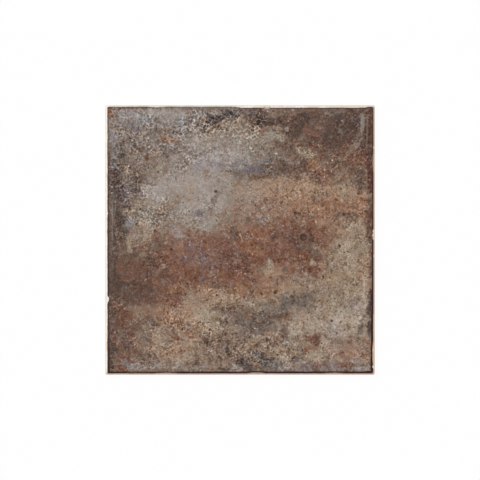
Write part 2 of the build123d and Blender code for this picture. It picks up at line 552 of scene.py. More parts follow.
# Stains, painted in this order. Places and reach are in millimetres. These wide ones have soft edges, and
# their rows are (glaze, from, to, reach, strength).
wide_strokes = [
    # upper left
    ("ash", (-92, 93), (-42, 92), 9, 1.0),
    ("dim ash", (-92, 74), (-50, 72), 12, 0.9),
    ("dim ash", (-46, 74), (-34, 76), 9, 0.9),
    ("warm ash", (-30, 74), (-12, 76), 8, 0.8),
    ("pale ash", (-20, 65), (-2, 66), 5, 0.8),
    ("pale ash", (-68, 96), (-42, 94), 4, 0.7),
    ("ash", (-62, 86), (-46, 86), 5, 0.6),
    ("dim ash", (-38, 96), (-5, 96), 4, 0.8),
    ("ash", (-45, 56), (4, 60), 8, 1.0),
    ("drab", (-80, 58), (-62, 55), 7, 0.7),
    ("warm ash", (-62, 40), (-25, 38), 11, 1.0),
    ("umber", (-96, 60), (-95, -40), 7, 0.9),
    ("smoke", (-88, 60), (-78, 36), 6, 0.8),
    ("charcoal", (-94, 50), (-86, 10), 5, 0.7),
    ("lichen", (-76, 22), (-62, 6), 9, 0.8),
    ("warm ash", (-45, 18), (-22, 16), 9, 0.9),
    ("pale ash", (-62, 40), (-14, 44), 8, 0.8),
    ("pale ash", (-40, 26), (-16, 26), 7, 0.7),
    ("stone", (-64, 14), (-56, 12), 5, 0.6),
    ("warm ash", (-12, 38), (0, 30), 9, 0.5),
    # upper right
    ("umber", (14, 91), (98, 93), 8, 1.0),
    ("smoke", (20, 96), (50, 96), 4, 0.9),
    ("umber", (42, 80), (92, 76), 11, 1.0),
    ("burnt umber", (64, 74), (82, 84), 9, 0.9),
    ("warm ash", (0, 76), (12, 68), 8, 0.9),
    ("drab", (16, 68), (32, 62), 9, 0.8),
    ("smoke", (0, 53), (30, 53), 6, 0.9),
    ("brown", (34, 72), (50, 54), 7, 0.9),
    ("brown", (62, 62), (95, 50), 11, 0.9),
    ("rust", (58, 66), (94, 62), 7, 0.8),
    ("rust", (52, 50), (62, 44), 5, 0.7),
    ("tan", (4, 38), (50, 39), 6.5, 1.0),
    ("tan", (66, 37), (82, 34), 7, 0.7),
    ("pink tan", (2, 26), (34, 22), 8, 0.7),
    ("ochre", (42, 25), (92, 26), 7, 0.9),
    ("rust", (66, 17), (94, 15), 5, 0.7),
    # rust band
    ("rust", (-72, -6), (-10, -4), 8, 0.9),
    ("rust", (-60, -24), (0, -20), 15, 1.0),
    ("rust", (0, -4), (58, 2), 13, 1.0),
    ("rust", (24, -14), (56, -18), 9, 0.9),
    ("umber", (-92, -20), (-68, -28), 15, 1.0),
    ("rust", (-90, -22), (-66, -30), 9, 0.5),
    ("burnt umber", (-82, -38), (-70, -40), 7, 0.8),
    ("plum", (-38, -4), (-24, -14), 8, 0.45),
    ("ochre", (-24, -40), (30, -37), 5, 0.8),
    ("rust", (-20, -31), (14, -30), 5, 0.6),
    # lower right
    ("lichen", (80, 6), (80, -50), 12, 1.0),
    ("lichen", (36, -34), (70, -34), 5, 0.8),
    ("stone", (58, -42), (70, -42), 6, 0.5),
    ("bright cream", (42, -61), (86, -60), 8, 0.8),
    ("lichen", (36, -80), (62, -86), 8, 0.7),
    ("pink tan", (68, -80), (94, -82), 9, 0.7),
    ("brown", (18, -66), (36, -68), 4, 0.6),
    ("smoke", (4, -62), (30, -52), 8, 0.9),
    ("smoke", (30, -48), (54, -43), 5, 0.9),
    ("brown", (0, -94), (98, -98), 5, 0.8),
    # lower left
    ("brown", (-92, -48), (-70, -92), 9, 0.9),
    ("rust", (-94, -50), (-84, -92), 8, 0.9),
    ("umber", (-98, -10), (-97, -98), 4, 0.9),
    ("rust", (-62, -44), (-42, -44), 5, 0.7),
    ("ochre", (-68, -54), (-44, -60), 6, 0.7),
    ("tan", (-38, -50), (-24, -64), 9, 1.0),
    ("tan", (-60, -76), (-36, -82), 8, 0.7),
    ("lichen", (-16, -44), (-4, -46), 4, 0.7),
    ("brown", (-22, -74), (0, -88), 9, 0.7),
    ("smoke", (-10, -52), (0, -60), 7, 0.6),
    # last touches
    ("pale ash", (-28, 62), (4, 58), 5, 0.7),
    ("pale ash", (-32, 36), (-20, 34), 6, 0.7),
    ("warm ash", (-74, 22), (-60, 12), 6, 0.8),
    ("stone", (-50, 5), (-40, 6), 4, 0.7),
    ("pink tan", (-14, 6), (0, 8), 5, 0.7),
    ("red rust", (-50, -6), (-20, -6), 6, 0.5),
    ("stone", (24, 96), (46, 96), 3, 0.7),
    ("dim ash", (-30, 96), (0, 96), 3.5, 0.8),
    ("brown", (52, 47), (60, 44), 4, 0.8),
    ("burnt umber", (-97, 2), (-97, -48), 4.5, 0.9),
    ("umber", (-90, -40), (-76, -44), 6, 0.8),
    ("umber", (-94, -56), (-86, -76), 5, 0.6),
    ("cream", (74, -2), (80, -8), 6, 0.7),
    ("cream", (70, -46), (90, -56), 6, 0.6),
    ("rust", (50, 16), (60, 12), 6, 0.6),
    ("orange rust", (14, -26), (38, -26), 5, 0.6),
    ("lichen", (-24, -44), (-4, -46), 5, 0.7),
    ("cream", (-28, -54), (-20, -60), 6, 0.6),
    ("stone", (-78, -96), (-44, -95), 3, 0.7),
    ("stone", (32, -94), (48, -95), 3, 0.6),
    ("brown", (30, -66), (38, -64), 3, 0.7),
    ("brown", (2, -76), (8, -76), 4, 0.6),
    ("tan", (96, -30), (93, -42), 3, 0.7),
    ("burnt umber", (-96, 6), (-96, -38), 4.5, 0.7),
    ("burnt umber", (-96, -80), (-96, -92), 4, 0.6),
    ("burnt umber", (74, 86), (92, 84), 5, 0.6),
    ("burnt umber", (96, 80), (95, 68), 3.5, 0.6),
    ("brown", (62, 66), (70, 64), 5, 0.6),
    ("pale ash", (-42, 75), (-32, 72), 5, 0.6),
    ("warm ash", (12, 76), (18, 74), 4, 0.6),
    ("stone", (62, 96), (70, 95), 3, 0.6),
    ("pale ash", (-30, 46), (-22, 30), 5, 0.5),
    ("tan", (42, 34), (58, 35), 5, 0.6),
    ("warm ash", (-70, 24), (-60, 16), 5, 0.5),
    ("tan", (62, 18), (66, 12), 4, 0.6),
    ("red rust", (-48, 4), (-42, -6), 5, 0.6),
    ("umber", (-90, -3), (-82, -8), 5, 0.7),
    ("umber", (-48, -42), (-42, -46), 4, 0.6),
    ("tan", (-28, -46), (-6, -44), 5, 0.5),
    ("brown", (-18, -34), (-12, -37), 4, 0.6),
    ("brown", (12, -34), (18, -36), 4, 0.5),
    ("lichen", (52, -34), (58, -44), 5, 0.6),
    ("cream", (84, -53), (88, -57), 5, 0.6),
    ("dark rust", (44, 84), (86, 76), 16, 0.3),
    ("red rust", (10, 2), (36, 2), 9, 0.35),
    ("plum", (-40, -8), (-6, -12), 9, 0.18),
]

# Closer ones over them, by part of the face, as (glaze, from, to, reach, edge, strength)
close_strokes = {
    "upper left": [
        ("orange rust", (-97, 98), (-96, 92), 2.5, "broken", 0.9),
        ("brown", (-90, 98.4), (-58, 98.4), 0.9),
        ("pale ash", (-60, 96), (-43, 93), 3.5, "broken", 0.6),
        ("violet smoke", (-80, 84), (-72, 81.5), 1.6),
        ("pale ash", (-34, 95), (-31, 82), 2.4),
        ("smoke", (-30, 87), (-25, 82), 2.4),
        ("charcoal", (-23, 88), (-12, 92.5), 2.6, "broken", 1.0),
        ("charcoal", (-14, 92.5), (0, 92), 2.2, "broken", 1.0),
        ("umber", (-20, 86), (-13, 84), 1.8),
        ("smoke", (-66, 80), (-50, 79), 2.4, "broken", 0.7),
        ("smoke", (-82, 78), (-78, 71), 2.4),
        ("blue ash", (-93, 70), (-93, 60), 2.2, "broken", 0.7),
        ("smoke", (-89, 69), (-86, 62), 2.6, "broken", 0.9),
        ("ochre", (-57, 74), (-48, 72), 2.6, "broken", 0.6),
        ("smoke", (-57, 63), (-47, 66), 2.2, "broken", 0.7),
        ("violet ash", (-31, 54), (-18, 57), 4, "soft", 0.7),
        ("pale ash", (-12, 65), (-6, 67), 3, "broken", 0.9),
        ("lichen", (-85, 53), (-87, 45), 2),
        ("umber", (-78, 47), (-73, 43), 3.2, "broken", 0.9),
        ("umber", (-92, 46), (-90, 30), 3.6),
        ("lichen", (-84.5, 38), (-83, 29), 1.5, "broken", 0.9),
        ("umber", (-90, 28), (-82, 26), 3),
        ("burnt umber", (-89, 17), (-88, 2), 3, "broken", 0.9),
        ("smoke", (-95, 40), (-95, 4), 1.2),
        ("pale ash", (-71, 34), (-63, 35), 3.2, "broken", 0.7),
        ("pale ash", (-27, 35), (-32, 23), 2.6),
        ("violet smoke", (-31, 19.5), (-24, 17.5), 1.8, "broken", 0.9),
        ("smoke", (-24, 20), (-19, 25), 0.9, "broken", 0.7),
        ("pale ash", (-28, 24), (-20, 33), 1.8, "broken", 0.9),
        ("drab", (-20, 28), (-16, 34), 1.6, "broken", 0.9),
        ("red rust", (-60, 9), (-63, 2), 2.6),
        ("red rust", (-38, 5), (-22, 3), 2.6),
        ("drab", (-62, 17), (-53, 20), 2.8, "broken", 0.7),
    ],
    "upper right": [
        ("burnt umber", (15, 87), (29, 86), 2.6, "broken", 0.7),
        ("warm ash", (22, 77.5), (31, 75), 2.4, "crisp", 0.95),
        ("burnt umber", (36, 78), (42, 80), 2.4),
        ("burnt umber", (44, 87), (50, 91), 3.4),
        ("red rust", (49, 96.5), (58, 97), 1.6),
        ("smoke", (61, 95.5), (66, 95), 2),
        ("red rust", (48, 80), (57, 79), 3, "broken", 0.7),
        ("charcoal", (71, 92), (79, 94), 2.4),
        ("burnt umber", (63, 78), (70, 69), 3.6, "broken", 0.7),
        ("ash", (91, 90), (90.5, 84), 1.6, "broken", 0.9),
        ("stone", (90.5, 82), (88, 72), 1.5, "broken", 0.9),
        ("stone", (88, 72), (79, 64), 1.6),
        ("stone", (77, 60), (70, 58.5), 1.6, "broken", 0.7),
        ("dark rust", (97, 96), (97, 38), 3.6, "broken", 0.95),
        ("red rust", (97, 94), (97, 86), 1.6, "broken", 0.7),
        ("cream", (45, 65), (54, 63), 2.8, "broken", 0.9),
        ("umber", (22, 55), (45, 52), 3.2),
        ("violet smoke", (3, 54), (16, 51), 3, "soft", 0.7),
        ("blue ash", (14, 58.5), (23, 58), 2.2, "broken", 0.6),
        ("brown", (6, 46.5), (22, 47), 1.6, "broken", 0.9),
        ("brown", (36, 47.5), (45, 46), 2, "broken", 0.9),
        ("tan", (28, 43.5), (52, 44), 2.4),
        ("brown", (35, 73), (38, 64), 3, "broken", 0.7),
        ("red rust", (56, 52), (62, 43), 2.6),
        ("umber", (90, 48), (88, 37), 2.8),
        ("cream", (76, 40), (77, 31), 2.4),
        ("ochre", (91, 34), (89, 27), 2.4),
        ("brown", (55, 29), (62, 26), 1.8),
        ("umber", (40, 19), (47, 20.3), 1.1, "crisp", 0.9),
        ("brown", (74, 20), (84, 19), 2.6, "broken", 0.9),
        ("cream", (83, 12), (79, 2), 3.6),
        ("dark rust", (97.5, 30), (97.5, 2), 3, "broken", 0.85),
        ("rust", (33, 12), (44, 6), 4, "broken", 0.6),
        ("umber", (40, 2), (54, -3), 5, "broken", 0.7),
        ("ochre", (22, 9), (29, 12.5), 1.4, "broken", 0.7),
        ("orange rust", (8, 5), (18, 2), 3, "broken", 0.7),
    ],
    "lower left": [
        ("drab", (-95.5, -4), (-95, -20), 0.9),
        ("umber", (-98, 20), (-97.4, -50), 2.6, "broken", 0.95),
        ("cream", (-81, 0), (-82, -8), 2.2),
        ("umber", (-68, -8), (-58, 0), 3.4, "broken", 0.6),
        ("pink tan", (-61, -25), (-56.5, -18), 1),
        ("orange rust", (-63, -26), (-61.5, -31), 1.8),
        ("orange rust", (-52, -37), (-44, -36), 2.4),
        ("rust", (-45, -41), (-50, -47), 3, "broken", 0.9),
        ("dark rust", (-78, -34), (-67, -42), 4, "broken", 0.7),
        ("ochre", (-34, -38), (-26, -33), 2.2),
        ("cream", (-16, -41), (-11, -43.5), 2, "broken", 0.9),
        ("ochre", (-3, -43), (-1, -35), 2.4),
        ("ochre", (-61, -50), (-50, -56), 3.6, "broken", 0.6),
        ("smoke", (-22, -53.5), (-17, -50), 1, "crisp", 0.8),
        ("umber", (-12, -52.5), (-5, -49.5), 2.2),
        ("umber", (-16, -60), (-9, -62), 1.5),
        ("tan", (-76.5, -50), (-77.5, -58), 2.2),
        ("umber", (-67, -59), (-63, -64), 2, "broken", 0.9),
        ("rust", (-52, -70), (-46, -73), 2, "broken", 0.9),
        ("orange rust", (-45, -66), (-36, -70.5), 2, "broken", 0.7),
        ("smoke", (-72, -72), (-65, -74.5), 2.8),
        ("cream", (-61, -77), (-54, -73), 2.8, "broken", 0.7),
        ("brown", (-86, -82), (-75, -84), 2.8),
        ("burnt umber", (-98, -74), (-96, -97), 3, "broken", 0.9),
        ("blue ash", (-87, -91), (-76, -94), 1.8),
        ("brown", (-38, -91), (-30, -92), 2.4, "broken", 0.9),
        ("cream", (-46, -88), (-33, -84), 2.6, "broken", 0.6),
        ("umber", (-27.5, -70.5), (-25, -75), 2.6, "broken", 0.9),
        ("burnt umber", (-9, -76), (-8.4, -84), 1.7),
        ("stone", (-5.6, -72), (-5.4, -85), 1, "broken", 0.7),
        ("burnt umber", (-15, -95), (-8, -97), 1.7),
    ],
    "lower right": [
        ("orange rust", (2, -3), (14, -8), 3.6, "broken", 0.7),
        ("umber", (50, -4), (57, -9), 3.8, "broken", 0.7),
        ("ochre", (19, -29), (24, -37), 4, "broken", 0.6),
        ("pink tan", (42, -24), (41, -18), 2, "broken", 0.7),
        ("rust", (51, -22), (57, -27), 2.4, "broken", 0.9),
        ("cream", (7, -46), (18, -47), 2.8),
        ("tan", (31, -35.5), (36, -33), 2.8),
        ("smoke", (32, -45), (53, -42), 3),
        ("smoke", (18, -51), (28, -51), 3),
        ("brown", (38, -53), (34, -57), 1.8),
        ("smoke", (17, -66), (23, -60), 3.6, "broken", 0.7),
        ("bright cream", (39, -66), (44, -59), 3.6, "broken", 0.7),
        ("bright cream", (72, -63), (86, -60), 3.4, "broken", 0.7),
        ("ochre", (90, -21), (90, -29), 1.6),
        ("brown", (97.3, -2), (97.3, -26), 1.4),
        ("burnt umber", (97.4, -37), (97.0, -56), 3.0, "broken", 1.0),
        ("bright cream", (93, -22), (91.5, -44), 1.5, "broken", 0.9),
        ("bright cream", (91, -47), (88, -58), 2.2),
        ("bright cream", (87, -60), (82, -67), 1.8),
        ("smoke", (91.5, -57), (89, -68), 1.8, "broken", 0.9),
        ("charcoal", (96.6, -61), (97.2, -70), 1.9, "broken", 1.0),
        ("cream", (62, -70), (61, -78), 1.8, "broken", 0.7),
        ("rust", (50, -73), (58, -71.5), 1.6, "broken", 0.9),
        ("dark rust", (57, -73), (55, -80), 1.7, "broken", 1.0),
        ("red rust", (55, -80), (46, -82.5), 1.6, "broken", 1.0),
        ("lichen", (2, -83), (12, -74), 1.7),
        ("lichen", (12, -74), (26, -69.5), 1.7, "broken", 0.7),
        ("red rust", (23, -72.5), (30, -76), 2, "broken", 0.6),
        ("lichen", (20, -83), (28, -78), 2.4),
        ("cream", (38, -71), (36, -78), 2.2, "broken", 0.7),
        ("charcoal", (13, -83.5), (10, -86.5), 2.4, "broken", 0.9),
        ("charcoal", (14, -86.5), (24, -88.5), 2.2, "broken", 0.9),
        ("cream", (25, -84.5), (36, -88), 2.4, "broken", 0.7),
        ("smoke", (40, -89), (46, -88), 2, "broken", 0.9),
        ("cream", (51, -87), (61, -86), 2.8, "broken", 0.7),
        ("cream", (34, -94.5), (46, -93), 1.7),
        ("charcoal", (0, -90), (6, -95), 3, "broken", 0.9),
        ("charcoal", (17, -92), (31, -95), 2.8, "broken", 0.9),
        ("rust", (58, -93), (65, -93), 1.8),
        ("red rust", (74, -85), (79, -88), 2),
        ("ochre", (82, -85), (92, -86.5), 2.8, "broken", 0.6),
        ("rust", (73, -93.5), (83, -92), 2),
        ("violet smoke", (86, -95.5), (92, -94), 1.5, "broken", 0.9),
        ("smoke", (97, -80), (96, -96), 1.8),
    ],
}

# Round dabs over them, as (glaze, x, y, reach, edge, strength)
dabs = {
    "upper left": [
        ("violet ash", -80, 94, 4, "broken", 0.6),
        ("blue ash", -70, 87, 4, "broken", 0.7),
        ("smoke", -61, 87.5, 1.6, "broken", 0.9),
        ("blue ash", -44, 88, 2.2, "broken", 0.7),
        ("ochre", -39, 95, 1.7, "broken", 0.7),
        ("smoke", -40, 88.5, 2, "broken", 0.7),
        ("warm ash", -5, 85, 2.8),
        ("cream", -73, 78, 2.2, "broken", 0.7),
        ("warm ash", -87, 77, 2.6, "broken", 0.7),
        ("violet ash", -94, 76, 2.4),
        ("violet smoke", -94, 55, 1.9, "broken", 0.9),
        ("olive", -79, 64, 3.4, "broken", 0.6),
        ("brown", -73.5, 67, 2.1),
        ("rust", -69, 61, 1.6),
        ("pink tan", -64, 64, 2.5, "broken", 0.7),
        ("violet ash", -52, 69, 2.1, "broken", 0.7),
        ("cream", -60, 56, 2.2, "broken", 0.7),
        ("smoke", -46, 53.5, 2.2, "broken", 0.6),
        ("violet ash", -40, 64, 2.4, "broken", 0.7),
        ("drab", -14, 55, 2.1, "broken", 0.7),
        ("violet smoke", -4, 57, 2.6, "broken", 0.6),
        ("pale ash", -3, 70, 2.3),
        ("smoke", -77, 37, 2.6),
        ("smoke", -77, 19, 2.5),
        ("blue ash", -82, 12, 3),
        ("pale ash", -62, 28, 1.9, "broken", 0.7),
        ("drab", -57, 24, 1.8),
        ("stone", -49, 31, 4, "broken", 0.5),
        ("smoke", -54, 11, 1.7),
        ("smoke", -17, 31, 1.0),
        ("violet ash", -50, 9, 2.2, "broken", 0.5),
        ("umber", -5.5, 4, 3),
        ("drab", -18, 9, 2),
        ("pale ash", -46, 5, 4.5, "soft", 0.6),
        ("tan", -37, 36, 7, "soft", 0.3),
        ("pale ash", -25, 45, 5, "soft", 0.5),
        ("drab", -65, 45, 5, "soft", 0.5),
        ("charcoal", -90, 35, 8, "soft", 0.5),
        ("warm ash", -75, 5, 5, "soft", 0.5),
        ("smoke", -97, 66, 6, "soft", 0.5),
        ("rust", -97, 97, 5, "soft", 0.4),
        ("stone", -40, 55, 6, "soft", 0.4),
        ("violet smoke", -84, 34, 9, "soft", 0.3),
        ("dim ash", -86, 45, 3.5, "broken", 0.6),
        ("burnt umber", -73, 46, 5, "soft", 0.6),
        ("rust", -15, 5, 4.5, "soft", 0.4),
        ("stone", -75, 5, 4, "soft", 0.5),
        ("pale ash", -25, 55, 5, "soft", 0.5),
        ("pale ash", -25, 15, 5, "soft", 0.5),
        ("pale ash", -6, 64, 5, "soft", 0.6),
        ("warm ash", -64, 23, 4, "soft", 0.5),
    ],
    "upper right": [
        ("violet smoke", 6, 94.5, 2, "broken", 0.7),
        ("charcoal", 10, 93, 1.9, "broken", 0.9),
        ("red rust", 18, 96, 1.6),
        ("stone", 24, 97.2, 1.6),
        ("red rust", 36, 92, 2),
        ("warm ash", 1.5, 84, 2.4, "broken", 0.7),
        ("stone", 12, 82, 2.4, "broken", 0.7),
        ("red rust", 16, 80, 1.8, "broken", 0.7),
        ("brown", 25, 83.5, 2.3, "broken", 0.7),
        ("warm ash", 33.5, 82, 1.7, "crisp", 0.9),
        ("stone", 74, 96, 1.9),
        ("brown", 59, 85, 3.4, "broken", 0.7),
        ("smoke", 67.5, 77, 1.4, "broken", 0.7),
        ("bright cream", 52.5, 64, 1.6, "broken", 0.7),
        ("pink tan", 40, 60, 1.7),
        ("blue ash", 42.5, 56, 1.4, "broken", 0.7),
        ("ochre", 54, 56, 2.3),
        ("smoke", 62, 57, 2.3, "broken", 0.6),
        ("charcoal", 27, 53, 2, "broken", 0.6),
        ("warm ash", 4, 43.5, 1.8),
        ("drab", 26.5, 37, 1.3),
        ("violet ash", 17, 34, 2, "broken", 0.5),
        ("drab", 23, 32, 1.6, "broken", 0.5),
        ("olive", 24, 65, 3.4, "broken", 0.5),
        ("pale ash", 10, 73.5, 2.8, "broken", 0.7),
        ("pale ash", 16, 72, 1.3, "broken", 1.0),
        ("olive", 45, 76, 2.3, "broken", 0.7),
        ("burnt umber", 54, 73, 2.2, "broken", 0.7),
        ("pink tan", 66.5, 51, 1.4, "broken", 0.9),
        ("rust", 60, 43, 1.7),
        ("pink tan", 73, 48, 2.6, "broken", 0.7),
        ("brown", 72, 42, 1.6),
        ("olive", 82, 43, 1.9),
        ("pink tan", 84, 36, 2.2, "broken", 0.6),
        ("drab", 93, 51, 1.5, "broken", 0.7),
        ("brown", 65.5, 32, 1.6),
        ("ochre", 48, 25.5, 3.2, "broken", 0.7),
        ("cream", 47, 25, 1.3),
        ("brown", 40, 23, 1.5, "broken", 0.7),
        ("ochre", 55, 23, 3.4, "broken", 0.6),
        ("tan", 48, 15, 2.2, "broken", 0.7),
        ("orange rust", 62, 21, 2.4, "broken", 0.7),
        ("red rust", 78, 27, 2.2, "broken", 0.6),
        ("ochre", 90, 18, 2.2, "broken", 0.5),
        ("plum", 13, 24, 2.2, "broken", 0.7),
        ("pink tan", 32, 23, 2.2, "broken", 0.7),
        ("violet smoke", 22, 23, 1.8, "broken", 0.5),
        ("lichen", 26, 18, 2, "broken", 0.6),
        ("violet ash", 16.5, 15.5, 1.8),
        ("brown", 6, 15, 1.8),
        ("dark rust", 65, 66, 5, "soft", 0.7),
        ("brown", 55, 46, 4.5, "soft", 0.6),
        ("ash", 7, 35, 7, "soft", 0.45),
        ("orange rust", 55, 15, 5, "soft", 0.6),
        ("orange rust", 28, 25, 8, "soft", 0.3),
        ("rust", 68, 49, 10, "soft", 0.3),
        ("rust", 65, 5, 5, "soft", 0.5),
        ("tan", 76, 4, 5, "soft", 0.5),
        ("burnt umber", 97, 80, 12, "soft", 0.6),
        ("dark rust", 97, 97, 6, "soft", 0.6),
        ("smoke", 5, 97, 6, "soft", 0.5),
        ("burnt umber", 75, 84, 5, "soft", 0.5),
        ("brown", 35, 74, 5, "soft", 0.5),
        ("brown", 25, 55, 5, "soft", 0.5),
        ("tan", 76, 48, 6.5, "soft", 0.45),
        ("brown", 70, 14, 6, "soft", 0.45),
        ("tan", 35, 35, 5.5, "soft", 0.5),
        ("ochre", 65, 22, 7, "soft", 0.5),
        ("umber", 66, 65, 6, "soft", 0.4),
        ("ochre", 72, 10, 7, "soft", 0.5),
        ("ochre", 55, 55, 4.5, "soft", 0.5),
        ("brown", 76, 51, 6, "soft", 0.4),
        ("orange rust", 11.5, 17, 2.2, "broken", 0.6),
        ("orange rust", 58, 6, 2.6, "broken", 0.7),
        ("umber", 25, 3, 2.8, "broken", 0.6),
    ],
    "lower left": [
        ("stone", -87, -10, 1.7),
        ("stone", -72, -11, 2.3),
        ("burnt umber", -67, -14, 1.6),
        ("rust", -88, -4, 2, "broken", 0.7),
        ("burnt umber", -52, -7, 1.3, "crisp", 0.8),
        ("orange rust", -55, -8, 1.7, "broken", 0.6),
        ("pink tan", -45, -4, 2.8, "broken", 0.6),
        ("pink tan", -57, -18, 1.3, "broken", 0.9),
        ("burnt umber", -65, -22, 2.4, "broken", 0.7),
        ("ochre", -43, -28, 2),
        ("stone", -22, -25.5, 2.2, "broken", 0.7),
        ("violet smoke", -28.5, -29.5, 2, "broken", 0.7),
        ("ochre", -22, -38.5, 2.4, "broken", 0.6),
        ("lichen", -37, -45.5, 2.2),
        ("pink tan", -43, -51, 2.4),
        ("bright cream", -27, -51, 4, "broken", 0.5),
        ("red rust", -7, -56, 2.2, "broken", 0.7),
        ("cream", -13, -59, 1.5),
        ("lichen", -5.5, -65, 1.9),
        ("warm ash", -16, -66, 2.2, "broken", 0.6),
        ("tan", -27.5, -65, 3, "broken", 0.7),
        ("pink tan", -72, -48, 1.9, "broken", 0.7),
        ("pink tan", -66, -54, 1.9, "broken", 0.6),
        ("brown", -57, -65, 2),
        ("cream", -70, -64, 2.3, "broken", 0.6),
        ("brown", -81, -63.5, 2.8, "broken", 0.7),
        ("burnt umber", -49, -68, 1.3, "crisp", 0.9),
        ("red rust", -83, -72, 2.2, "broken", 0.6),
        ("drab", -88, -71, 2.6, "broken", 0.7),
        ("charcoal", -92, -82, 2.2, "broken", 0.7),
        ("cream", -65, -80, 2.2, "broken", 0.6),
        ("cream", -35, -76.5, 2.8, "broken", 0.7),
        ("orange rust", -35, -71, 1.3),
        ("ochre", -47, -81, 2.8, "broken", 0.6),
        ("brown", -43, -81, 1.3, "broken", 0.9),
        ("brown", -69.5, -87, 2.3),
        ("umber", -21.5, -90.5, 2),
        ("umber", -3, -82, 1.5, "broken", 0.7),
        ("lichen", -13, -82, 2, "broken", 0.7),
        ("lichen", -18, -76, 2.1, "broken", 0.5),
        ("cream", -3, -93, 1.9),
        ("ochre", -45, -5, 4.5, "soft", 0.5),
        ("dark rust", -5, -15, 5, "soft", 0.45),
        ("brown", -65, -25, 4.5, "soft", 0.5),
        ("brown", -45, -45, 4, "soft", 0.5),
        ("brown", -71, -51, 8, "soft", 0.35),
        ("cream", -25, -56, 6, "soft", 0.5),
        ("lichen", -45, -65, 4.5, "soft", 0.7),
        ("tan", -75, -75, 4.5, "soft", 0.3),
        ("umber", -86, -75, 4, "soft", 0.6),
        ("rust", -45, -45, 5, "soft", 0.6),
        ("violet smoke", -28, -12, 2.2, "broken", 0.6),
        ("violet smoke", -37, -6, 1.8, "broken", 0.6),
        ("violet smoke", -20, -19, 1.6, "broken", 0.6),
        ("violet smoke", -42, -15, 1.8, "broken", 0.5),
        ("orange rust", -33, -17, 1.8),
        ("orange rust", -17, -10, 2.0, "broken", 0.7),
        ("orange rust", -39, -10, 1.4),
        ("orange rust", -25, -5, 1.6, "broken", 0.7),
        ("brown", -67, -56, 10, "soft", 0.3),
        ("dark rust", -65, -25, 6, "soft", 0.6),
        ("dark rust", -7, -15, 6.5, "soft", 0.55),
        ("burnt umber", -96, -36, 10, "soft", 0.6),
        ("stone", -70, -5, 6, "soft", 0.4),
        ("dark rust", -75, -45, 5, "soft", 0.5),
        ("lichen", -5, -45, 5, "soft", 0.5),
        ("brown", -5, -55, 5, "soft", 0.5),
        ("cream", -25, -65, 5, "soft", 0.5),
        ("tan", -25, -44, 8, "soft", 0.6),
        ("bright cream", -25, -55, 6, "soft", 0.5),
        ("brown", -55, -75, 5, "soft", 0.4),
        ("brown", -35, -85, 5, "soft", 0.5),
        ("umber", -85, -76, 5, "soft", 0.5),
        ("ash", -65, -97, 6, "soft", 0.5),
        ("ash", -33, -97, 6, "soft", 0.5),
        ("burnt umber", -96, -90, 7, "soft", 0.6),
        ("stone", -15, -86, 5, "soft", 0.4),
        ("stone", -27, -48, 6, "soft", 0.3),
        ("pale ash", -75, -97, 7, "soft", 0.6),
        ("pale ash", -45, -97, 7, "soft", 0.55),
        ("pale ash", 1, -97, 7, "soft", 0.6),
    ],
    "lower right": [
        ("umber", 3, -12, 2.3, "broken", 0.7),
        ("umber", 6, -23, 2.4),
        ("lichen", 20.5, -22.5, 3.9, "crisp", 1.0),
        ("cream", 22, -16.5, 2, "broken", 0.9),
        ("pink tan", 29, -13, 1.6),
        ("rust", 31, -17.5, 2.2),
        ("umber", 32, -22, 1.4, "broken", 0.9),
        ("pink tan", 35, -12, 1.6, "broken", 0.6),
        ("lichen", 53, -17, 2.4, "crisp", 1.0),
        ("ochre", 61, -21, 2, "broken", 0.7),
        ("brown", 47, -22, 1.9, "broken", 0.7),
        ("burnt umber", 10, -30.5, 1.9),
        ("rust", 28, -32, 1.3, "broken", 0.9),
        ("burnt umber", 26, -38.5, 1.4, "crisp", 0.9),
        ("burnt umber", 8.5, -39, 1.2, "crisp", 0.9),
        ("pink tan", 4, -42, 2.6),
        ("rust", 3, -43, 1, "crisp", 0.8),
        ("pink tan", 6, -33, 1.6),
        ("tan", 13, -42, 3, "broken", 0.6),
        ("cream", 13, -51.5, 1.8),
        ("lichen", 44, -32.5, 3, "broken", 0.6),
        ("umber", 55, -45.5, 1.9),
        ("drab", 8, -62.5, 2.2),
        ("stone", 29, -64.5, 2.2),
        ("umber", 34, -69, 1.9, "broken", 0.7),
        ("tan", 46, -58.5, 2.8, "broken", 0.6),
        ("ochre", 46, -66, 1.5, "broken", 0.7),
        ("olive", 58.5, -56.5, 2.1, "broken", 0.7),
        ("olive", 67.5, -60, 1.2),
        ("drab", 75, -42, 2.2, "broken", 0.5),
        ("drab", 68, -35, 1.5, "broken", 0.7),
        ("drab", 60, -38, 1.3, "broken", 0.7),
        ("drab", 50, -31, 1.5, "broken", 0.6),
        ("brown", 67.5, -27.5, 1.5, "broken", 0.7),
        ("ochre", 63, -8, 2.3),
        ("olive", 65, -17, 2, "broken", 0.7),
        ("cream", 80, -4, 3.2, "broken", 0.7),
        ("olive", 86.5, -6, 1.6, "broken", 0.7),
        ("pink tan", 94, -24, 1.6, "broken", 0.7),
        ("rust", 97.4, -24, 1.5),
        ("bright cream", 94, -60, 1.4),
        ("olive", 88, -74.5, 1.8),
        ("ochre", 94, -75, 2, "broken", 0.7),
        ("red rust", 69, -72, 1.9, "broken", 0.5),
        ("rust", 5, -35, 4, "soft", 0.5),
        ("orange rust", 15, -36, 4.5, "soft", 0.4),
        ("tan", 25, -25, 5, "soft", 0.5),
        ("lichen", 65, -26, 6, "soft", 0.6),
        ("cream", 86, -37, 6, "soft", 0.5),
        ("bright cream", 86, -50, 6, "soft", 0.4),
        ("pale ash", 84, -49, 8, "soft", 0.5),
        ("stone", 75, -44, 5, "soft", 0.4),
        ("brown", 8, -52, 10, "soft", 0.25),
        ("brown", 55, -5, 5, "soft", 0.6),
        ("ochre", 97, -16, 6, "soft", 0.4),
        ("tan", 65, -26, 5, "soft", 0.5),
        ("smoke", 45, -55, 4, "soft", 0.3),
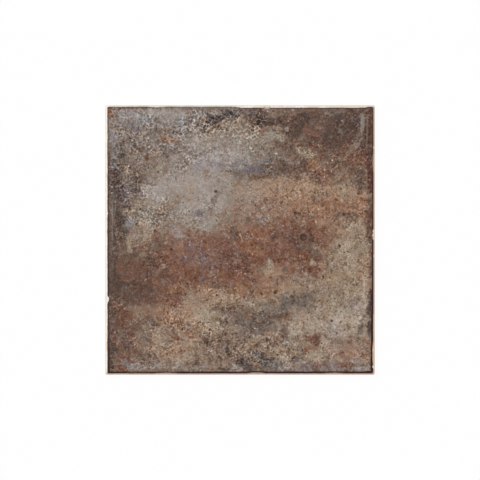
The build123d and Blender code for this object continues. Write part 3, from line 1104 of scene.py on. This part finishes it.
        ("drab", 65, -55, 5, "soft", 0.4),
        ("brown", 15, -5, 4.5, "soft", 0.4),
        ("lichen", 25, -45, 5, "soft", 0.6),
        ("lichen", 56, -45, 5, "soft", 0.5),
        ("tan", 64, -55, 4, "soft", 0.5),
        ("bright cream", 74, -63, 9, "soft", 0.6),
        ("pale ash", 69, -66, 8, "soft", 0.5),
        ("brown", 85, -76, 5, "soft", 0.4),
        ("ochre", 96, -86, 6, "soft", 0.4),
        ("smoke", 35, -75, 5, "soft", 0.5),
        ("stone", 25, -75, 4, "soft", 0.5),
        ("ash", 25, -97, 6, "soft", 0.5),
        ("smoke", 25, -65, 4, "soft", 0.5),
        ("stone", 5, -55, 4.5, "soft", 0.5),
        ("pale ash", 35, -97, 8, "soft", 0.4),
        ("violet ash", 48, -97, 7, "soft", 0.55),
        ("violet ash", 66, -97, 7, "soft", 0.45),
        ("pale ash", 91, -97, 9, "soft", 0.6),
        ("lichen", 34, -86, 5, "soft", 0.4),
        ("ash", 72, -77, 2.2, "broken", 0.6),
        ("drab", 75, -74, 1.6),
        ("burnt umber", 20, -74, 1.5, "crisp", 0.8),
        ("umber", 14, -78, 1.7),
        ("drab", 33, -77, 1.5),
        ("smoke", 42, -81, 1.5),
        ("pink tan", 11, -91, 1.9),
        ("violet smoke", 55, -94, 1.9),
        ("cream", 85.5, -77, 2, "broken", 0.5),
    ],
}


# Patches of the face by how strongly they are speckled, as (strength, from, to, reach)
speckled_patches = [
    (0.95, (-50, -15), (50, 5), 18),
    (0.55, (-56, 46), (-12, 38), 17),
    (0.55, (48, 90), (76, 76), 13),
    (0.55, (-90, -14), (-70, -44), 15),
    (0.75, (32, -30), (86, -60), 20),
    (0.65, (-38, -46), (-24, -62), 12),
    (1.3, (-88, 88), (-42, 72), 20),
    (1.5, (-28, 90), (8, 84), 10),
    (1.3, (-86, 52), (-66, 18), 13),
    (1.25, (-52, -66), (32, -86), 13),
    (1.05, (60, 42), (90, 66), 14),
]

# Where the glaze stops short of its end, as (millimetres, from, to, reach)
short_stretches = [
    (0.75, (6, 100), (86, 100), 7),
    (0.4, (100, -60), (100, -96), 6),
]

# Where ash glaze colour is laid over the bare clay beside the glaze's end, as (strength, from, to): strongest
# along the lower side and most of the right, faint along the upper side and none along the left
greyed_stretches = [
    (0.6, (100, 96), (100, -52)),
    (0.05, (100, -56), (100, -98)),
    (0.65, (-96, -100), (14, -100)),
    (0.55, (18, -100), (96, -100)),
    (0.3, (-94, 100), (-2, 100)),
    (0.1, (2, 100), (96, 100)),
]

# Colours of a blowhole from outside in, as (glaze, share of its width, strength). One that is wider than
# this many millimetres shows its rusty floor.
wide_blowhole = 4.0
narrow_pit = (("red rust", 0.62, 0.5), ("pit", 0.45, 0.95))
wide_pit = (("orange rust", 0.88, 0.35), ("pit", 0.6, 1.0), ("dark rust", 0.34, 0.75))

# Small chips of the rim, as (colour, x, y, reach, strength)
rim_chips = [
    ("chalk", 99.8, 68.5, 1.1, 0.8),
    ("chalk", 99.9, 6.5, 1.5, 0.9),
    ("chalk", 99.9, 3.6, 1.7, 0.9),
    ("chalk", 99.9, 1.0, 1.2, 0.9),
    ("chalk", 99.8, -12.0, 1.0, 0.8),
    ("chalk", 99.6, -94.0, 1.4, 0.9),
    ("chalk", -99.4, -14.0, 1.2, 0.5),
    ("chalk", -1.5, 99.6, 1.2, 0.8),
    ("drab", 20.0, 98.4, 2.6, 0.6),
]

# Thin lines along the rim, as (glaze, from, to, reach): the rust ones are stains, and the ash and tan ones
# are a painted highlight on the rim's ridge
rim_stains_and_highlights = [
    ("ash", (-94.6, 30), (-94.6, 0), 0.5),
    ("dim ash", (-58, 98.2), (-6, 98.2), 1.0),
    ("rust", (-96, 98.0), (-77, 98.0), 0.9),
    ("pink tan", (94.4, 92), (94.0, 66), 0.5),
    ("pale ash", (90.6, 93), (90.2, 78), 1.1),
    ("pale ash", (89.6, 75), (86.5, 69), 1.2),
    ("pink tan", (93.6, 52), (94.0, 36), 0.6),
    ("rust", (-40, -96.6), (-85, -96.4), 0.6),
]


# What the groups of a stroke and a dab take for their edge
stain_inputs = (
    ("Gone", "Float", 1.5),
    ("Whole", "Float", 0.5),
    ("Raggedness", "Float", 1.0),
    ("Strength", "Float", 1.0),
    ("Break-up", "Float", 0.0),
)


def stroke_group():
    """Mask of a stroke from Start to End that fades and breaks up at its edge."""
    tree, given, result = new_group("stroke", "ShaderNodeTree", [
        ("Place", "Vector", None),
        ("Start", "Vector", None),
        ("End", "Vector", None),
        ("Reach", "Float", 10.0),
        *stain_inputs,
    ], [("Mask", "Float")])
    run = vector_calc(tree, "SUBTRACT", given["End"], given["Start"])
    out = vector_calc(tree, "SUBTRACT", given["Place"], given["Start"])
    along = vector_calc(tree, "DOT_PRODUCT", out, run, out="Value")
    whole = vector_calc(tree, "DOT_PRODUCT", run, run, out="Value")
    share = held(tree, calc(tree, "DIVIDE", along, whole))
    nearest = vector_calc(tree, "SCALE", run, share)
    far = vector_calc(tree, "DISTANCE", out, nearest, out="Value")
    feed(tree, result["Mask"], faded(tree, given, far))
    return tree


def dab_group():
    """Mask of a round dab that fades and breaks up at its edge."""
    tree, given, result = new_group("dab", "ShaderNodeTree", [
        ("Place", "Vector", None),
        ("Middle", "Vector", None),
        ("Reach", "Float", 2.0),
        *stain_inputs,
    ], [("Mask", "Float")])
    far = vector_calc(tree, "DISTANCE", given["Place"], given["Middle"], out="Value")
    feed(tree, result["Mask"], faded(tree, given, far))
    return tree


def faded(tree, given, far):
    """How strong a stain is this far from its middle."""
    level = calc(tree, "DIVIDE", far, given["Reach"])
    level = calc(tree, "MULTIPLY_ADD", given["Break-up"], given["Raggedness"], level)
    inputs = {
        "Value": level, "From Min": given["Gone"], "From Max": given["Whole"], "To Max": given["Strength"],
    }
    return add(tree, "ShaderNodeMapRange", inputs, interpolation_type="SMOOTHSTEP", clamp=False).outputs[0]


def painting_group(name, groups, strokes, spots):
    """Stains of one part of the face, painted over a colour."""
    tree, given, result = new_group(name, "ShaderNodeTree", [
        ("Place", "Vector", None),
        ("Break-up", "Float", 0.0),
        ("Colour", "Color", None),
    ], [("Colour", "Color")])
    colour = given["Colour"]
    for glaze, start, end, *finish in strokes:
        shape = stroke_shape(start, end)
        colour = stained(tree, groups["stroke"], given, shape, finish, colour, glaze)
    for glaze, x, y, *finish in spots:
        shape = {"Middle": (x, y, 0)}
        colour = stained(tree, groups["dab"], given, shape, finish, colour, glaze)
    feed(tree, result["Colour"], colour)
    return tree


def stained(tree, group, given, shape, finish, colour, glaze):
    """A colour with one stain over it."""
    reach, edge, strength = finish if len(finish) == 3 else (*finish, *usual_finish)
    mask = stain(tree, group, given["Place"], given["Break-up"], shape, reach, edge, strength)
    return mix_colour(tree, mask, colour, glazes[glaze])


def stain(tree, group, place, break_up, shape, reach, edge, strength=1.0):
    """Mask of one stain."""
    gone, whole, raggedness = edges[edge]
    return fill(tree, group, {
        "Place": place, **shape, "Reach": float(reach), "Gone": gone, "Whole": whole,
        "Raggedness": raggedness, "Strength": strength, "Break-up": break_up,
    })["Mask"]


def fired_clay_group():
    """Fired clay: its colour, with painted light and shade by side, and the height of its grain."""
    tree, given, result = new_group("fired_clay", "ShaderNodeTree", [
        ("Place", "Vector", None),
        ("Cream", "Color", srgb(230, 216, 200)),
        ("Peach", "Color", srgb(230, 191, 158)),
        ("Chalk", "Color", srgb(250, 242, 232)),
        ("Grit", "Color", srgb(160, 128, 104)),
        ("Grit Amount", "Float", 0.5),
    ], [("Colour", "Color"), ("Height", "Float")])
    # Peach in random patches, with painted light and shade by side: more peach towards the shaded right side,
    # less on the lit upper side, and paler chalk towards the lit left side
    ways = add(tree, "ShaderNodeSeparateXYZ", {0: given["Place"]}).outputs
    trend = calc(tree, "POWER", calc(tree, "DIVIDE", ways["X"], half_side / mm), 3.0)
    upper = calc(tree, "POWER", calc(tree, "DIVIDE", ways["Y"], half_side / mm), 3.0)
    warm = clouds(tree, given["Place"], 26, 2.0, 0.5, 3.0).outputs[0]
    warm = calc(tree, "MULTIPLY_ADD", upper, -0.2, calc(tree, "MULTIPLY_ADD", trend, 0.08, warm))
    warm = held(tree, ramp_up(tree, warm, 0.38, 0.6))
    colour = mix_colour(tree, warm, given["Cream"], given["Peach"])
    # Chalk in random patches, and painted light making the clay paler towards the lit left side
    chalky_and_lit = clouds(tree, given["Place"], 8, 3.0, 0.7, 7.0).outputs[0]
    chalky_and_lit = held(tree, ramp_up(tree, calc(tree, "MULTIPLY_ADD", trend, -0.14, chalky_and_lit), 0.45, 0.68))
    colour = mix_colour(tree, calc(tree, "MULTIPLY", chalky_and_lit, 0.9), colour, given["Chalk"])
    grain = clouds(tree, given["Place"], 0.8, 3.0, 0.7, 11.0).outputs[0]
    gritty = calc(tree, "MULTIPLY", ramp_up(tree, grain, 0.56, 0.7), given["Grit Amount"])
    feed(tree, result["Colour"], mix_colour(tree, gritty, colour, given["Grit"]))
    feed(tree, result["Height"], grain)
    return tree


def speckle_group():
    """Speckle of a fired glaze: fine grain, pale dots on dark glaze, dark dots on pale glaze, and curls."""
    tree, given, result = new_group("speckle", "ShaderNodeTree", [
        ("Place", "Vector", None),
        ("Colour", "Color", None),
        ("Strength", "Float", 1.0),
        ("Mottle", "Float", 0.0),
        ("Mottling", "Float", 0.32),
        ("Grain", "Float", 0.145),
        ("Salt", "Float", 0.22),
        ("Curls", "Float", 0.26),
        ("Pepper", "Float", 0.32),
        ("Flecks", "Float", 0.115),
    ], [("Colour", "Color"), ("Height", "Float")])
    place = given["Place"]
    # Worked in the levels that a painter reads, so that a pale dot is no warmer than a dark one
    seen = add(tree, "ShaderNodeGamma", {"Color": given["Colour"], "Gamma": 1 / 2.2}).outputs[0]
    bright = vector_calc(tree, "DOT_PRODUCT", seen, (0.3, 0.59, 0.11), out="Value")
    pale = held(tree, ramp_up(tree, bright, 0.4, 0.6))

    fine = swinging(tree, place, 1.25, 1.0, 0.6, 4.0)
    lumps = swinging(tree, place, 3.2, 2.0, 0.6, 6.0)
    grain = calc(tree, "MULTIPLY_ADD", fine, 3.4, calc(tree, "MULTIPLY", lumps, 1.5))
    swing = calc(tree, "MULTIPLY", grain, given["Grain"])
    dots = patches(tree, place, 2.4, 1.0, 0.8, 10.0, 0.65, 0.74)
    salt = calc(tree, "MULTIPLY", dots, calc(tree, "SUBTRACT", 1.1, pale))
    swing = calc(tree, "MULTIPLY_ADD", salt, given["Salt"], swing)
    dots = patches(tree, place, 2.6, 1.0, 0.8, 13.0, 0.61, 0.7)
    creamy = vector_calc(tree, "DOT_PRODUCT", seen, (1.0, 0.0, -1.0), out="Value")
    creamy = held(tree, ramp_up(tree, creamy, 0.05, 0.15))
    pepper = calc(tree, "MULTIPLY", dots, calc(tree, "MULTIPLY_ADD", pale, creamy, 0.2))
    swing = calc(tree, "SUBTRACT", swing, calc(tree, "MULTIPLY", pepper, given["Pepper"]))
    # Curls of pale crackle, only where the speckle is strong
    curls = swinging(tree, place, 3.4, 1.0, 0.6, 8.0)
    curls = calc(tree, "SUBTRACT", ramp_up(tree, calc(tree, "ABSOLUTE", curls), 0.09, 0.0), 0.33)
    curly = held(tree, calc(tree, "SUBTRACT", given["Strength"], 0.85))
    swing = calc(tree, "MULTIPLY", swing, calc(tree, "MULTIPLY_ADD", curly, -0.6, 1.0))
    swing = calc(tree, "MULTIPLY_ADD", curls, calc(tree, "MULTIPLY", curly, given["Curls"]), swing)
    # Busy and calm spots, some millimetres across
    busy = held(tree, patches(tree, place, 11, 3.0, 0.6, 15.0, 0.36, 0.64))
    busy = calc(tree, "MULTIPLY_ADD", busy, 0.7, 0.6)
    swing = calc(tree, "MULTIPLY", swing, calc(tree, "MULTIPLY", busy, given["Strength"]))
    swing = calc(tree, "MULTIPLY_ADD", given["Mottle"], given["Mottling"], swing)

    hue = swinging(tree, place, 3.4, 3.0, 0.8, 17.0)
    flecks = calc(tree, "MULTIPLY", hue, given["Flecks"])
    turned = vector_calc(tree, "SCALE", (1.0, -0.15, -1.0), flecks)
    level = add(tree, "ShaderNodeCombineXYZ", {"X": swing, "Y": swing, "Z": swing}).outputs[0]
    level = vector_calc(tree, "ADD", vector_calc(tree, "ADD", seen, level), turned)
    level = vector_calc(tree, "MAXIMUM", level, (0.08, 0.06, 0.05))
    feed(tree, result["Colour"], add(tree, "ShaderNodeGamma", {"Color": level, "Gamma": 2.2}).outputs[0])
    feed(tree, result["Height"], grain)
    return tree


def stroke_shape(start, end):
    """Where a stroke starts and ends, as its group takes it."""
    return {"Start": (*start, 0), "End": (*end, 0)}


def wandering(tree, place):
    """Places that wander widely and less widely, so that no stain ends in a straight or round line."""
    wander = clouds(tree, place, 18, 3.0, 0.5, 2.0).outputs["Color"]
    wander = vector_calc(tree, "SUBTRACT", wander, (0.5, 0.5, 0.5))
    moved = vector_calc(tree, "ADD", place, vector_calc(tree, "MULTIPLY", wander, broad_wander))
    moved_less = vector_calc(tree, "ADD", place, vector_calc(tree, "MULTIPLY", wander, close_wander))
    broad = swinging(tree, moved, 9, 4.0, 0.6, 5.0)
    close = swinging(tree, place, 2.6, 3.0, 0.7, 9.0)
    break_up = calc(tree, "MULTIPLY_ADD", broad, 1.6, calc(tree, "MULTIPLY", close, 1.6))

    # Close shaking makes their edges uneven too
    jitter = add(tree, "ShaderNodeCombineXYZ", {"X": broad, "Y": close}).outputs[0]
    moved = vector_calc(tree, "MULTIPLY_ADD", jitter, broad_shake, moved)
    moved_less = vector_calc(tree, "MULTIPLY_ADD", jitter, close_shake, moved_less)
    return {"moved": moved, "moved less": moved_less, "broad": broad, "close": close, "break-up": break_up}


def mottled(tree, groups, place, drift):
    """Colour of the face's glaze and the height of its grain."""
    moved, moved_less, break_up = drift["moved"], drift["moved less"], drift["break-up"]
    soft_strokes = [(*stroke, "soft", strength) for *stroke, strength in wide_strokes]
    inputs = {"Place": moved, "Break-up": break_up, "Colour": glazes["stone"]}
    colour = fill(tree, painting_group("wide_stains", groups, soft_strokes, []), inputs)["Colour"]
    for part in close_strokes:
        inputs = {"Place": moved_less, "Break-up": break_up, "Colour": colour}
        painting = painting_group(part.replace(" ", "_") + "_stains", groups, close_strokes[part], dabs[part])
        colour = fill(tree, painting, inputs)["Colour"]
    strength = 1.0
    for level, start, end, reach in speckled_patches:
        shape = stroke_shape(start, end)
        mask = stain(tree, groups["stroke"], moved, break_up, shape, reach, "soft")
        strength = mix_value(tree, mask, strength, level)

    # Blooms of rust and ash, some millimetres across, and no rust in the upper left
    rusty = patches(tree, place, 8, 5.0, 0.75, 21.0, 0.56, 0.62)
    lower_right = vector_calc(tree, "DOT_PRODUCT", place, (0.008, -0.010, 0.0), out="Value")
    rusty = calc(tree, "MULTIPLY", rusty, held(tree, calc(tree, "ADD", lower_right, 1.1)))
    colour = mix_colour(tree, calc(tree, "MULTIPLY", rusty, 0.45), colour, glazes["rust"])
    ashy = patches(tree, place, 7, 5.0, 0.75, 23.0, 0.57, 0.63)
    colour = mix_colour(tree, calc(tree, "MULTIPLY", ashy, 0.3), colour, glazes["ash"])

    # Mottling between the blooms and the speckle, hardly in the upper left
    mottle = swinging(tree, moved_less, 6, 3.0, 0.6, 41.0)
    mottle = calc(tree, "MULTIPLY", mottle, held(tree, calc(tree, "ADD", lower_right, 0.55)))
    inputs = {"Place": place, "Colour": colour, "Strength": strength, "Mottle": mottle}
    speckle = fill(tree, groups["speckle"], inputs)
    return speckle["Colour"], speckle["Height"]


def glaze_left(tree, groups, place, drift):
    """How many millimetres of glaze are left before its end."""
    seat = vector_calc(tree, "MULTIPLY_ADD", place, glaze_stretch, glaze_shift)
    ways = add(tree, "ShaderNodeSeparateXYZ", {0: vector_calc(tree, "ABSOLUTE", seat)}).outputs
    reach = calc(tree, "MAXIMUM", ways["X"], ways["Y"])
    waver = swinging(tree, place, 11, 4.0, 0.7, 31.0)
    from_end = calc(tree, "SUBTRACT", calc(tree, "MULTIPLY_ADD", waver, glaze_waver, glaze_reach), reach)
    for short, start, end, width in short_stretches:
        shape = stroke_shape(start, end)
        missing = stain(tree, groups["stroke"], place, drift["break-up"], shape, width, "soft", short)
        from_end = calc(tree, "SUBTRACT", from_end, missing)
    return from_end


def dark_rimmed(tree, groups, place, drift, from_end, colour):
    """The glaze with painted shade on its rolled rim, the darker line where it ends, its lines along the rim
    (rust stains, and pale lines that are a painted highlight on the rim's ridge) and its blowholes.
    """
    break_up = drift["break-up"]
    # Painted shade: burnt umber over the last few millimetres of glaze where the rim rolls down, more towards
    # the right and upper sides
    lean = vector_calc(tree, "DOT_PRODUCT", place, (0.0010, 0.0006, 0.0), out="Value")
    painted_rim_shade = calc(tree, "MULTIPLY", ramp_up(tree, from_end, 4.5, 0.6), calc(tree, "ADD", lean, 0.2))
    colour = mix_colour(tree, painted_rim_shade, colour, glazes["burnt umber"])
    thick = held(tree, patches(tree, place, 24, 2.0, 0.5, 37.0, 0.36, 0.56))
    reddish = calc(tree, "SUBTRACT", 1.0, thick)
    line_colour = mix_colour(tree, calc(tree, "MULTIPLY", reddish, 0.8), glazes["scorched"], glazes["seared"])
    # The dark line where the glaze ends is its own; its being strongest and widest along the lower side, and
    # stronger towards the right, is painted shade
    lean = vector_calc(tree, "DOT_PRODUCT", place, (0.0012, -0.0022, 0.0), out="Value")
    strength = calc(tree, "MULTIPLY_ADD", thick, 0.15, calc(tree, "ADD", lean, 0.74))
    widening = vector_calc(tree, "DOT_PRODUCT", place, (0.0, -0.005, 0.0), out="Value")
    line = ramp_up(tree, calc(tree, "SUBTRACT", from_end, widening), 1.6, 1.0)
    line = calc(tree, "MULTIPLY", line, held(tree, strength))
    colour = mix_colour(tree, line, colour, line_colour)
    # Rust stains along the rim, and pale lines that are a painted highlight on the rim's ridge
    for glaze, start, end, width in rim_stains_and_highlights:
        shape = stroke_shape(start, end)
        mask = stain(tree, groups["stroke"], place, break_up, shape, width, "broken", 0.45)
        colour = mix_colour(tree, mask, colour, glazes[glaze])
    for x, y, width, depth in blowholes:
        shape = {"Middle": (x * half_side / mm, y * half_side / mm, 0)}
        for glaze, reach, strength in (wide_pit if width > wide_blowhole else narrow_pit):
            pit = stain(tree, groups["dab"], place, break_up, shape, width * reach, "round", strength)
            colour = mix_colour(tree, pit, colour, glazes[glaze])

    # The sheen of the glaze adds a little white over its colour, which is taken off here
    colour = vector_calc(tree, "SUBTRACT", colour, sheen)
    return vector_calc(tree, "MAXIMUM", colour, (0.0, 0.0, 0.0))


def worn_through(tree, groups, place, object_place, drift, from_end, colour):
    """Bare clay past the glaze's end and in chips: the colour, where it is, and the height of its grain."""
    break_up = drift["break-up"]
    clay = fill(tree, groups["fired_clay"], {"Place": vector_calc(tree, "SCALE", object_place, 1 / mm)})
    cover = add(tree, "ShaderNodeAttribute", attribute_name="glaze_cover").outputs["Fac"]
    chipped = ramp_up(tree, calc(tree, "MULTIPLY_ADD", drift["close"], 0.8, cover), 0.55, 0.35)
    bare = calc(tree, "MAXIMUM", ramp_up(tree, from_end, 0.1, -0.1), chipped)
    # Ash glaze colour over the bare clay just past the glaze's end, along the stretches listed above
    greying = 0.0
    for level, start, end in greyed_stretches:
        shape = stroke_shape(start, end)
        mask = stain(tree, groups["stroke"], place, break_up, shape, 3, "round", level)
        greying = calc(tree, "MAXIMUM", greying, mask)
    greying = calc(tree, "MULTIPLY", greying, ramp_up(tree, from_end, -1.2, -0.3))
    colour = mix_colour(tree, bare, colour, mix_colour(tree, greying, clay["Colour"], glazes["ash"]))
    for chip, x, y, width, strength in rim_chips:
        mask = stain(tree, groups["dab"], place, break_up, {"Middle": (x, y, 0)}, width, "round", strength)
        colour = mix_colour(tree, mask, colour, glazes[chip])
    return colour, bare, clay["Height"]


def blank_material(name):
    """A material without nodes, and its tree."""
    material = bpy.data.materials.new(name)
    material.use_nodes = True
    material.node_tree.nodes.clear()
    return material, material.node_tree


def show(tree, shader):
    """Makes a shader the look of its material."""
    output = add(tree, "ShaderNodeOutputMaterial")
    tree.links.new(shader.outputs[0], output.inputs[0])


def finish_surface(tree, colour, roughness, specular, relief):
    """Ends a material's tree in a surface, with its relief as (strength, millimetres, height)."""
    strength, depth, height = relief
    bump = add(tree, "ShaderNodeBump", {"Strength": strength, "Distance": depth * mm, "Height": height})
    inputs = {"Base Color": colour, "Roughness": roughness, "Normal": bump.outputs[0]}
    inputs["Specular IOR Level"] = specular
    show(tree, add(tree, "ShaderNodeBsdfPrincipled", inputs))


def weathered_glaze(groups):
    """The face: mottled glaze over clay, with painted shade at the rim, and worn through to the clay at the
    arris.
    """
    material, tree = blank_material("weathered_glaze")
    object_place = add(tree, "ShaderNodeTexCoord").outputs["Object"]
    place = vector_calc(tree, "MULTIPLY", object_place, (1 / mm, 1 / mm, 0.0))
    drift = wandering(tree, place)
    colour, glaze_grain = mottled(tree, groups, place, drift)
    from_end = glaze_left(tree, groups, place, drift)
    colour = dark_rimmed(tree, groups, place, drift, from_end, colour)
    colour, bare, clay_grain = worn_through(tree, groups, place, object_place, drift, from_end, colour)

    roughness = mix_value(tree, bare, calc(tree, "MULTIPLY_ADD", drift["broad"], 0.4, 0.5), 0.9)
    height = mix_value(tree, bare, calc(tree, "MULTIPLY", glaze_grain, 0.2), clay_grain)
    finish_surface(tree, colour, roughness, 0.3, (0.35, 0.15, height))
    return material


def bare_clay(groups):
    """Fired clay without glaze, on the sides and the back."""
    material, tree = blank_material("bare_clay")
    place = vector_calc(tree, "SCALE", add(tree, "ShaderNodeTexCoord").outputs["Object"], 1 / mm)
    colours = {"Peach": srgb(230, 204, 180), "Chalk": srgb(238, 227, 213)}
    clay = fill(tree, groups["fired_clay"], {"Place": place, **colours})
    finish_surface(tree, clay["Colour"], 0.9, 0.2, (0.4, 0.2, clay["Height"]))
    return material


def lay_out_map(mesh):
    """A UV map with the face large, the back beside it, and the four sides in strips below."""
    layer = mesh.uv_layers.new(name="OFBake")
    face_share, back_share, strip_step, margin = 0.74, 0.24, 0.055, 0.004
    for polygon in mesh.polygons:
        normal = polygon.normal
        for corner in polygon.loop_indices:
            x, y, z = mesh.vertices[mesh.loops[corner].vertex_index].co / tile_side
            if normal.z > 0.5:
                spot = (margin + (x + 0.5) * face_share, 1 - margin + (y - 0.5) * face_share)
            elif normal.z < -0.5:
                spot = (1 - margin + (x - 0.5) * back_share, 1 - margin + (y - 0.5) * back_share)
            else:
                along, row = (y, 0) if abs(normal.x) > abs(normal.y) else (x, 1)
                row += 2 if (normal.y if row else normal.x) > 0 else 0
                spot = (margin + (along + 0.5) * (1 - 2 * margin), margin + row * strip_step + z)
            layer.data[corner].uv = spot


def tile_piece():
    """The whole tile as one closed mesh."""
    groups = {
        "stroke": stroke_group(),
        "dab": dab_group(),
        "speckle": speckle_group(),
        "fired_clay": fired_clay_group(),
    }
    finishes = [weathered_glaze(groups), bare_clay(groups)]
    mesh = blank_mesh()
    for finish in finishes:
        mesh.materials.append(finish)
    mesh = applied(mesh, face_relief_group(), {"Glaze": finishes[0]})
    mesh = applied(mesh, keyed_back_group(), {"Clay": finishes[1]})
    mesh.name = "tile_fired"
    used = [mesh.materials[polygon.material_index] for polygon in mesh.polygons]
    mesh.materials.clear()
    for finish in finishes:
        mesh.materials.append(finish)
    for polygon, finish in zip(mesh.polygons, used):
        polygon.material_index = finishes.index(finish)
        polygon.use_smooth = polygon.center.z > 0.3 * mm
    lay_out_map(mesh)
    return placed("tile_fired", mesh)


def shooting_table():
    """White floor, soft light from the upper left and a camera straight above."""
    scene = bpy.context.scene
    scene.view_settings.view_transform = "Standard"

    floor_reach = 4.0
    floor_gap = 0.2 * mm
    floor_mesh = bpy.data.meshes.new("floor")
    corners = [(x * floor_reach, y * floor_reach, 0) for x, y in ((-1, -1), (1, -1), (1, 1), (-1, 1))]
    floor_mesh.from_pydata(corners, [], [(0, 1, 2, 3)])
    floor = placed("floor", floor_mesh)
    floor.location.z = -floor_gap
    paper, tree = blank_material("paper")
    matt = add(tree, "ShaderNodeBsdfDiffuse", {"Color": (0.9, 0.9, 0.9, 1)})
    glow = add(tree, "ShaderNodeEmission", {"Color": (1, 1, 1, 1), "Strength": 1.0})
    light_path = add(tree, "ShaderNodeLightPath")
    seen = calc(tree, "MAXIMUM", light_path.outputs["Is Camera Ray"], light_path.outputs["Is Glossy Ray"])
    seen = calc(tree, "MAXIMUM", seen, light_path.outputs["Is Transmission Ray"])
    glow_share = 0.94
    share = calc(tree, "MULTIPLY", seen, glow_share)
    show(tree, add(tree, "ShaderNodeMixShader", {0: share, 1: matt.outputs[0], 2: glow.outputs[0]}))
    floor.data.materials.append(paper)

    world = bpy.data.worlds.new("studio")
    scene.world = world
    world.use_nodes = True
    background = world.node_tree.nodes["Background"]
    background.inputs["Color"].default_value = (1, 1, 1, 1)
    background.inputs["Strength"].default_value = 0.6

    lamp_data = bpy.data.lights.new("softbox", "SUN")
    lamp_data.energy = 1.4
    lamp_data.angle = radians(35)
    lamp = placed("softbox", lamp_data)
    lamp.rotation_mode = "QUATERNION"
    lamp.rotation_quaternion = Vector((-0.45, 0.35, 1.0)).to_track_quat("Z", "Y")

    camera_data = bpy.data.cameras.new("camera")
    camera_distance = 8.0
    photo_side = 480
    tile_in_photo = 269.5
    frame_width = tile_side * photo_side / tile_in_photo
    camera_data.sensor_width = 36.0
    camera_data.lens = camera_data.sensor_width * camera_distance / frame_width
    camera_data.clip_end = 2 * camera_distance
    scene.camera = placed("camera", camera_data)
    scene.camera.location.z = camera_distance


tile = tile_piece()
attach(tile, "root")
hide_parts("tile")
shooting_table()
